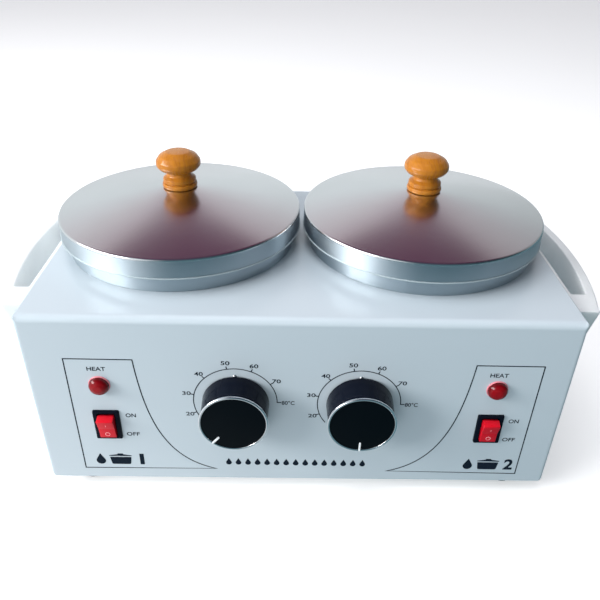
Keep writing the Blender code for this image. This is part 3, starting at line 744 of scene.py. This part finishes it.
def make_switch(name):
    """The black bezel and body, and the red rocker with its two marks."""
    place = panel_place(name + "_switch_body")
    low, high = node_box(name + "_switch_body")
    half_width, half_height = (high.x - low.x) / 2, (high.z - low.z) / 2
    front = FRONT_Y - low.y
    bezel = rounded_box((-half_width, -half_height, SEAT), (half_width, half_height, front), 0.9,
                        edge=0.6)
    prism_into(bezel, [(-6.4, -9.5), (6.4, -9.5), (6.4, 9.5), (-6.4, 9.5)], -17, SEAT / 2)
    item = finish_mesh(name + "_bezel", bezel, MATERIALS["black_plastic"], "housing",
                       [name + "_switch_body"], place, FACING_FRONT)
    opening = rounded_box((-5.15, -8.75, -4.2), (5.15, 8.75, 6), 0.5)
    cut_with(item, mesh_object("rocker_opening", opening, place, FACING_FRONT), sharp=30.0)

    joint = next(j for j in frame["joints"] if j["name"] == name + "_switch_rock")
    pivot = Vector(joint["pos_m"]) / MM
    waist, swell, end, half_width = 3.4, 0.75, 7.4, 4.65
    side = [(0, waist, 1.2), (end, waist + swell, 0.5), (end + 0.45, 0, 0.3), (6.8, -2.0, 0.4),
            (0, -3.2, 0.8)]
    mirrored = [(-up, out, radius) for up, out, radius in side[-2:0:-1]]
    bm = bmesh.new()
    prism_into(bm, rounded(side + mirrored, steps=3), -half_width, half_width)
    bmesh.ops.rotate(bm, matrix=Matrix(((0, 0, 1), (1, 0, 0), (0, 1, 0))), verts=bm.verts)
    off_tilt = radians(12.0)
    turn = (pi / 2 + off_tilt, 0, 0)
    rocker = finish_mesh(name + "_red_rocker", bm, MATERIALS["red_rocker"], name + "_switch",
                         [name + "_rocker"], pivot, turn)
    round_edges(rocker, 0.35, 3, 50.0)
    apply_modifiers(rocker)

    slope = atan2(swell, end)
    marks = (("off", -4.3, ring_outline(1.15, 1.42)), ("on", 3.3, bar_outline(0.25, 1.4)))
    for mark, up, build in marks:
        bm = build()
        lean = slope if up > 0 else -slope
        bmesh.ops.rotate(bm, matrix=Matrix.Rotation(lean, 3, "X"), verts=bm.verts)
        out = waist + abs(up) * swell / end
        bmesh.ops.translate(bm, vec=(0, up, out), verts=bm.verts)
        finish_mesh(f"{name}_rocker_{mark}_mark", bm, MATERIALS["red_ink"], name + "_switch",
                    (), pivot, turn)


def ring_outline(inner, outer):
    def build():
        return turned([(inner, -0.1, 0), (outer, -0.1, 0), (outer, PRINT_THICKNESS, 0),
                       (inner, PRINT_THICKNESS, 0)], 32)
    return build


def bar_outline(width, height):
    def build():
        bm = bmesh.new()
        box_into(bm, (-width / 2, -height / 2, -0.1), (width / 2, height / 2, PRINT_THICKNESS))
        return bm
    return build


# ---------------------------------------------------------------- panel print

def stroke_into(bm, points, width, closed=False):
    """Lay a printed line of one width along a path of (x, y) points."""
    count = len(points)
    left, right = [], []
    for index in range(count):
        here = Vector(points[index])
        before = Vector(points[index - 1]) if index or closed else None
        after = Vector(points[(index + 1) % count]) if index < count - 1 or closed else None
        into = (here - before).normalized() if before else (after - here).normalized()
        out = (after - here).normalized() if after else into
        normal = (Vector((-into.y, into.x)) + Vector((-out.y, out.x))).normalized()
        stretch = 1.0 / max(normal.dot(Vector((-into.y, into.x))), 0.35)
        left.append(here + normal * width / 2 * stretch)
        right.append(here - normal * width / 2 * stretch)
    rows = [[bm.verts.new((*point, height)) for point in line]
            for line, height in ((left, 0), (right, 0), (right, PRINT_THICKNESS),
                                 (left, PRINT_THICKNESS))]
    spans = count if closed else count - 1
    for index in range(spans):
        after = (index + 1) % count
        for row in range(4):
            first, second = rows[row], rows[(row + 1) % 4]
            bm.faces.new((first[index], first[after], second[after], second[index]))
    if not closed:
        bm.faces.new([row[0] for row in rows])
        bm.faces.new([row[-1] for row in reversed(rows)])


def lettering_into(bm, text, centre, height, width, weight=0.0):
    """Add printed characters that fill a given height and width."""
    curve = bpy.data.curves.new("lettering", "FONT")
    curve.body = text
    curve.size = 1.0
    curve.offset = weight
    curve.resolution_u = 4
    curve.extrude = 0.01
    item = bpy.data.objects.new("lettering", curve)
    bpy.context.scene.collection.objects.link(item)
    bpy.context.view_layer.update()
    graph = bpy.context.evaluated_depsgraph_get()
    mesh = bpy.data.meshes.new_from_object(item.evaluated_get(graph))
    bpy.data.objects.remove(item)
    corners = [vert.co for vert in mesh.vertices]
    low = Vector([min(place[axis] for place in corners) for axis in range(3)])
    high = Vector([max(place[axis] for place in corners) for axis in range(3)])
    size, middle = high - low, (high + low) / 2
    for vert in mesh.vertices:
        place = vert.co - middle
        vert.co = (centre[0] + place.x / size.x * width, centre[1] + place.y / size.y * height,
                   (place.z / size.z + 0.5) * PRINT_THICKNESS)
    bm.from_mesh(mesh)
    bmesh.ops.remove_doubles(bm, verts=bm.verts, dist=0.0005)


def bezier(start, first, second, end, steps):
    points = []
    for index in range(steps + 1):
        t = index / steps
        s = 1 - t
        points.append(s ** 3 * Vector(start) + 3 * s * s * t * Vector(first)
                      + 3 * s * t * t * Vector(second) + t ** 3 * Vector(end))
    return points


def droplet_outline(centre, height):
    """A wax drop: a round bottom and a pointed top."""
    radius = height * 0.32
    x, y = centre[0], centre[1] - height / 2 + radius
    points = []
    for index in range(25):
        angle = radians(-118.0 + 236.0 * index / 24)
        points.append((x + radius * sin(angle), y - radius * cos(angle)))
    return points + [(x, centre[1] + height / 2)]


def print_object(name, bm, ink_name="navy_ink"):
    """Lay one colour of print on the panel. The screen sat a third of a degree out of square."""
    bmesh.ops.rotate(bm, matrix=Matrix.Rotation(radians(-0.3), 3, "Z"), verts=bm.verts)
    finish_mesh(name, bm, MATERIALS[ink_name], "housing", (),
                (0, FRONT_Y, TOP_Z), FACING_FRONT)


def print_frame(name):
    """The printed frame round one side's lamp and switch, with its swept inner edge."""
    side, shift = FRAMES[name]
    outer, inner, tip = 128.1, 90.9, 49.2
    top, bottom = -27.5, -110.1
    bm = bmesh.new()
    sweep = bezier((inner, top), (88.0, -68.0), (80.0, -101.0), (tip, bottom + 0.6), 24)
    path = [Vector((outer, bottom)), Vector((outer, top))] + sweep
    points = [(side * point.x + shift, point.y) for point in path]
    stroke_into(bm, points, 0.65, closed=True)
    print_object(name + "_frame_print", bm)


def print_labels(name):
    """The lamp and switch labels."""
    bm = bmesh.new()
    lamp = node_middle(name + "_lamp_lens")
    switch = node_middle(name + "_switch_body")
    labels = (("HEAT", lamp, -0.2, 10.4, 2.7, 10.2), ("ON", switch, 14.2, 6.1, 2.9, 5.9),
              ("OFF", switch, 14.0, -8.3, 2.8, 7.5))
    for text, middle, across, up, height, width in labels:
        centre = (middle.x + across, middle.z - TOP_Z + up)
        lettering_into(bm, text, centre, height, width, LETTER_WEIGHT)
    print_object(name + "_label_print", bm)


def print_pot_mark(name):
    """A drop, a covered pot and the pot's number."""
    bm = bmesh.new()
    (x, y), number, number_width = POT_MARKS[name]
    height, drop_reach, number_reach = 8.8, 12.0, 12.6
    prism_into(bm, droplet_outline((x - drop_reach, y), height), 0, PRINT_THICKNESS)
    pot = [(-6.4, 1.5, 0.4), (-5.6, -4.4, 1.2), (5.6, -4.4, 1.2), (6.4, 1.5, 0.4)]
    lid = [(-7.0, 2.3, 0.3), (-6.4, 2.9, 0.3), (-1.7, 3.7, 0.3), (-1.5, 4.4, 0.3),
           (1.5, 4.4, 0.3), (1.7, 3.7, 0.3), (6.4, 2.9, 0.3), (7.0, 2.3, 0.3)]
    for outline in (pot, lid):
        shape = [(x + point.x, y + point.y) for point in rounded(outline)]
        prism_into(bm, shape, 0, PRINT_THICKNESS)
    lettering_into(bm, number, (x + number_reach, y), height, number_width, 0.03)
    print_object(name + "_pot_mark_print", bm)


def print_scale(name):
    """The temperature scale round one dial."""
    place = node_middle(name + "_control_knob")
    x, y = place.x, place.z - TOP_Z
    radius, label_radius, tick_width = 23.5, 27.7, 0.6
    bm = bmesh.new()

    def around(angle, reach):
        turn = radians(angle)
        return (x + reach * sin(turn), y + reach * cos(turn))

    start, end, steps = -128.0, 90.0, 72
    arc = [around(start + (end - start) * index / steps, radius) for index in range(steps + 1)]
    stroke_into(bm, arc, 0.55)
    angles = {20: -110.0, 30: -78.0, 40: -45.0, 50: -10.0, 60: 23.0, 70: 56.5}
    for value, angle in angles.items():
        stroke_into(bm, [around(angle, radius + 0.25), around(angle, radius + 1.9)], tick_width)
        lettering_into(bm, str(value), around(angle, label_radius), 2.7, 4.8, LETTER_WEIGHT)
    end_x, end_y = around(end, radius)
    stroke_into(bm, [(end_x - 0.25, end_y), (end_x + 2.4, end_y)], tick_width)
    lettering_into(bm, "80°C", (end_x + 6.2, end_y - 0.2), 2.9, 7.3, LETTER_WEIGHT)
    print_object(name + "_scale_print", bm)


def print_centre_rule():
    """A plain row of drops under the dials."""
    bm = bmesh.new()
    centre_x, centre_y, count, pitch, height = -1.2, -103.2, 15, 5.75, 5.4
    for index in range(count):
        across = centre_x + (index - (count - 1) / 2) * pitch
        prism_into(bm, droplet_outline((across, centre_y), height), 0, PRINT_THICKNESS)
    print_object("centre_rule_print", bm)


def make_locating_stud(name):
    """The small plated stud that keeps each thermostat from turning, just above its dial."""
    above_dial, radius = 18.4, 1.2
    place = panel_place(name + "_control_knob") + Vector((0, 0, above_dial))
    stud = [(0, SEAT, 0), (radius, SEAT, 0), (radius, 0.4, 0.3), (0.8, 0.8, 0.4), (0, 0.9, 0)]
    finish_mesh(name + "_locating_stud", turned(stud, 24), MATERIALS["zinc_steel"], "housing",
                (), place, FACING_FRONT)


# ---------------------------------------------------------------- handles

def make_handle(name, side):
    """The bulging side grip, open through its middle for the fingers."""
    low, high = node_box(name + "_handle")
    middle_y, half_length = (low.y + high.y) / 2, (high.y - low.y) / 2
    face_x = SIDE_X + SEAT
    reach = max(abs(low.x), abs(high.x)) - face_x
    end_reach, rim, strip, gap_half = 13.5, 5.5, 4.6, 51.0
    bottom_reach, bottom_length, gap_corner, corner = 0.87, 0.90, 1.2, 7.0
    sagitta = reach - end_reach
    radius = (half_length ** 2 + sagitta ** 2) / (2 * sagitta)
    centre_x = face_x + reach - radius

    def arc(arc_radius, half, steps):
        points = []
        for index in range(steps + 1):
            y = half * (1 - 2 * index / steps)
            points.append((centre_x + sqrt(arc_radius ** 2 - y ** 2), y, 0))
        return points

    outer = arc(radius, half_length - corner / 2, 40)
    end_x = outer[0][0]
    outline = [(face_x, -half_length, 0), (face_x, half_length, 0), (end_x, half_length, corner)]
    outline += outer + [(end_x, -half_length, corner)]
    bm = bmesh.new()
    prism_into(bm, rounded(outline), low.z, high.z)
    for vert in bm.verts:
        if vert.co.z < high.z - 1:
            vert.co.x = face_x + (vert.co.x - face_x) * bottom_reach
            vert.co.y *= bottom_length
    bmesh.ops.scale(bm, vec=(side, 1, 1), verts=bm.verts)
    item = finish_mesh(name + "_grip", bm, MATERIALS["grey_plastic"], "housing",
                       [name + "_handle"], (0, middle_y, 0))
    inner = arc(radius - rim, gap_half, 30)
    for index in (0, -1):
        inner[index] = (*inner[index][:2], gap_corner)
    opening = [(face_x + strip, -gap_half, gap_corner), (face_x + strip, gap_half, gap_corner)]
    opening += inner
    bm = bmesh.new()
    prism_into(bm, rounded(opening), low.z - 3, high.z + 3)
    bmesh.ops.scale(bm, vec=(side, 1, 1), verts=bm.verts)
    cut_with(item, mesh_object("finger_gap", bm, (0, middle_y, 0)))
    round_edges(item, 0.9, 3, 50.0)
    apply_modifiers(item, 30.0)
    weighted_normals(item)


# ---------------------------------------------------------------- rear and small parts

def screw_head(name, node, place, turn, radius, height):
    """A pan head with a cross recess."""
    head = [(0, 0, 0), (radius, 0, 0.1), (radius * 0.97, height * 0.45, height * 0.5),
            (radius * 0.6, height, 0.6), (0, height, 0)]
    item = finish_mesh(name, turned(head, 40), MATERIALS["zinc_steel"], "housing",
                       [node], place, turn)
    half, arm, floor = radius * 0.12, radius * 0.58, height * 0.35
    cross = [(arm, -half), (arm, half), (half, half), (half, arm), (-half, arm), (-half, half),
             (-arm, half), (-arm, -half), (-half, -half), (-half, -arm), (half, -arm),
             (half, -half)]
    recess = bmesh.new()
    prism_into(recess, cross, floor, height + 1)
    cut_with(item, mesh_object("cross_recess", recess, place, turn), sharp=30.0)


def make_rear_and_base():
    """The inlet keeps its CAD shape, with its edges broken. The screws get real heads."""
    inlet = frame["nodes"]["inlet_socket"]
    weld = inlet.modifiers.new("weld", "WELD")
    weld.merge_threshold = 0.000005
    round_edges(inlet, 0.5, 2, 40.0)
    for pin in ("line", "neutral", "earth"):
        frame["nodes"]["inlet_pin_" + pin].data.shade_flat()
    for name, _ in SIDES:
        node = "inlet_screw_" + name
        low, high = node_box(node)
        middle = (low + high) / 2
        screw_head(name + "_inlet_screw_head", node, (middle.x, high.y - 1.0, middle.z),
                   FACING_REAR, (high.x - low.x) / 2, 1.0)
    for corner in CORNERS:
        node = "foot_screw_" + corner
        low, high = node_box(node)
        middle = (low + high) / 2
        screw_head("foot_screw_head_" + corner, node, (middle.x, middle.y, low.z + 2.6),
                   (pi, 0, 0), (high.x - low.x) / 2, 2.2)


# ---------------------------------------------------------------- stage

def flat_sheet(name, size, height, material):
    bm = bmesh.new()
    bmesh.ops.create_grid(bm, x_segments=1, y_segments=1, size=size)
    bmesh.ops.translate(bm, vec=(0, 0, height), verts=bm.verts)
    mesh = bpy.data.meshes.new(name)
    bm.to_mesh(mesh)
    bm.free()
    mesh.materials.append(material)
    sheet = bpy.data.objects.new(name, mesh)
    bpy.context.scene.collection.objects.link(sheet)
    return sheet


def make_floor():
    """The pale floor that is seen, and under it the card that lights the object from below. The card
    is dark towards the front and right: painted shade that stands in for shadowed floor in front and
    to the right.
    """
    size = 12.0
    n = Nodes("pale_floor", (0.93, 0.93, 0.93), 0.7, Specular_IOR_Level=0.2,
              Emission_Strength=0.35, Emission_Color=(1.0, 1.0, 1.0, 1.0))
    tone = n.ramp(n.noise(3.0, 2.0), (0.3, (0.92, 0.925, 0.93)), (0.7, (0.94, 0.945, 0.95)))
    floor = flat_sheet("floor", size, 0.0, n.use(Base_Color=tone))
    floor.visible_diffuse = False
    floor.visible_glossy = False

    n = Nodes("ground_card", (0.0, 0.0, 0.0), 1.0, Specular_IOR_Level=0.0, Emission_Strength=1.0)
    parts = n.node("ShaderNodeSeparateXYZ", Vector=n.coordinates)
    # painted shade: the card fades from pale at the back left to dark teal at the front and right
    painted_shade_slant = n.math("SUBTRACT", parts.outputs["X"], n.math("MULTIPLY", parts.outputs["Y"], 0.8))
    painted_shade_tint = n.ramp(n.spread(painted_shade_slant, 0.0, 1.0, -0.06, 0.18), (0.0, (0.86, 0.91, 0.94)),
                  (1.0, (0.11, 0.22, 0.26)))
    card = flat_sheet("ground_card", size, -0.004, n.use(Emission_Color=painted_shade_tint))
    card.visible_camera = False
    card.visible_shadow = False


def make_world():
    """A pale room, dim in front and to the right. A dark band hangs high up at the back.

    Each ramp runs from level to straight up.
    """
    world = bpy.data.worlds.new("pale_room")
    bpy.context.scene.world = world
    world.use_nodes = True
    n = NodeTree(world.node_tree)
    direction = n.node("ShaderNodeTexCoord").outputs["Generated"]
    x, y, z = n.node("ShaderNodeSeparateXYZ", Vector=direction).outputs

    def smooth_step(value, low, high):
        step = n.node("ShaderNodeMapRange", Value=value, From_Min=low, From_Max=high)
        step.interpolation_type = "SMOOTHSTEP"
        return step.outputs["Result"]

    def blend(first, second, factor):
        made = n.node("ShaderNodeMix", Factor=factor)
        made.data_type = "RGBA"
        n.feed(made.inputs[6], first)
        n.feed(made.inputs[7], second)
        return made.outputs[2]

    def scaled(colour, amount):
        made = n.node("ShaderNodeVectorMath")
        made.operation = "SCALE"
        n.feed(made.inputs[0], colour)
        n.feed(made.inputs["Scale"], amount)
        return made.outputs["Vector"]

    rear = n.ramp(
        z, (0.0, (0.78, 0.84, 0.86)), (0.26, (0.78, 0.85, 0.87)), (0.44, (0.71, 0.72, 0.75)),
        (0.54, (0.66, 0.63, 0.66)), (0.64, (0.58, 0.53, 0.56)), (0.725, (0.50, 0.40, 0.44)),
        (0.745, (0.105, 0.030, 0.070)), (1.0, (0.105, 0.030, 0.070)))
    front = n.ramp(
        z, (0.0, (0.09, 0.17, 0.20)), (0.35, (0.09, 0.17, 0.20)), (0.8, (0.06, 0.06, 0.09)))
    left = n.ramp(
        z, (0.0, (0.76, 0.81, 0.85)), (0.6, (0.72, 0.77, 0.81)), (0.95, (0.10, 0.08, 0.11)))
    ahead = blend(scaled(left, 1.35), front, smooth_step(x, -0.6, -0.1))
    around = blend(ahead, rear, smooth_step(y, 0.0, 0.3))
    shaded = blend(around, scaled(around, 0.35), smooth_step(x, 0.0, 1.0))
    background = n.tree.nodes["Background"]
    background.inputs["Strength"].default_value = 1.0
    n.feed(background.inputs["Color"], shaded)


def add_area_light(name, place, target, size, power, colour=(1, 1, 1)):
    light = bpy.data.lights.new(name, "AREA")
    light.shape = "RECTANGLE"
    light.size, light.size_y = size
    light.energy = power
    light.color = colour
    item = bpy.data.objects.new(name, light)
    item.location = place
    along = Vector(target) - Vector(place)
    item.rotation_euler = along.to_track_quat("-Z", "Y").to_euler()
    bpy.context.scene.collection.objects.link(item)
    return item


def make_lights():
    add_area_light("key", (-1.4, -0.5, 0.75), (0, 0, 0.1), (1.2, 0.6), 29.0, (1.0, 0.99, 0.97))
    top = add_area_light("top", (-0.2, -0.1, 1.6), (0, 0, 0.1), (1.2, 0.8), 13.2,
                         (0.96, 0.98, 1.0))
    fill = add_area_light("fill", (-0.2, -1.7, 0.45), (0, 0, 0.06), (1.2, 0.7), 9.4,
                          (1.0, 0.98, 0.97))
    for soft in (top, fill):
        soft.visible_glossy = False


def make_camera():
    """The camera looks down on the control panel, a little turned and tilted."""
    pitch, yaw, roll = radians(32.18), radians(0.79), radians(-1.23)
    sensor_width, lens_to_sensor = 36.0, 635.5 / 600.0
    forward = Vector((sin(yaw) * cos(pitch), cos(yaw) * cos(pitch), -sin(pitch)))
    level = Vector((cos(yaw), -sin(yaw), 0.0))
    down = forward.cross(level)
    right = cos(roll) * level + sin(roll) * down
    down = -sin(roll) * level + cos(roll) * down
    data = bpy.data.cameras.new("camera")
    data.sensor_width = sensor_width
    data.lens = sensor_width * lens_to_sensor
    camera = bpy.data.objects.new("camera", data)
    place = Vector((-5.0, FRONT_Y - 272.5, TOP_Z + 184.0)) * MM
    turn = Matrix((right, -down, -forward)).transposed().to_4x4()
    camera.matrix_world = Matrix.Translation(place) @ turn
    bpy.context.scene.collection.objects.link(camera)
    bpy.context.scene.camera = camera


def build():
    bpy.context.scene.view_settings.view_transform = "Standard"
    for item in list(bpy.data.objects):
        if item.name in ("Cube", "Light", "Camera"):
            bpy.data.objects.remove(item)
    make_camera()
    dress_cad_nodes()
    make_housing()
    make_feet()
    print_centre_rule()
    for name, side in SIDES:
        make_well(name)
        make_pot(name)
        make_lid(name)
        make_lamp(name)
        make_switch(name)
        make_handle(name, side)
        make_locating_stud(name)
        print_scale(name)
    for make in (make_dial, print_frame, print_labels, print_pot_mark):
        for name, _ in SIDES:
            make(name)
    make_rear_and_base()
    make_floor()
    make_world()
    make_lights()


build()
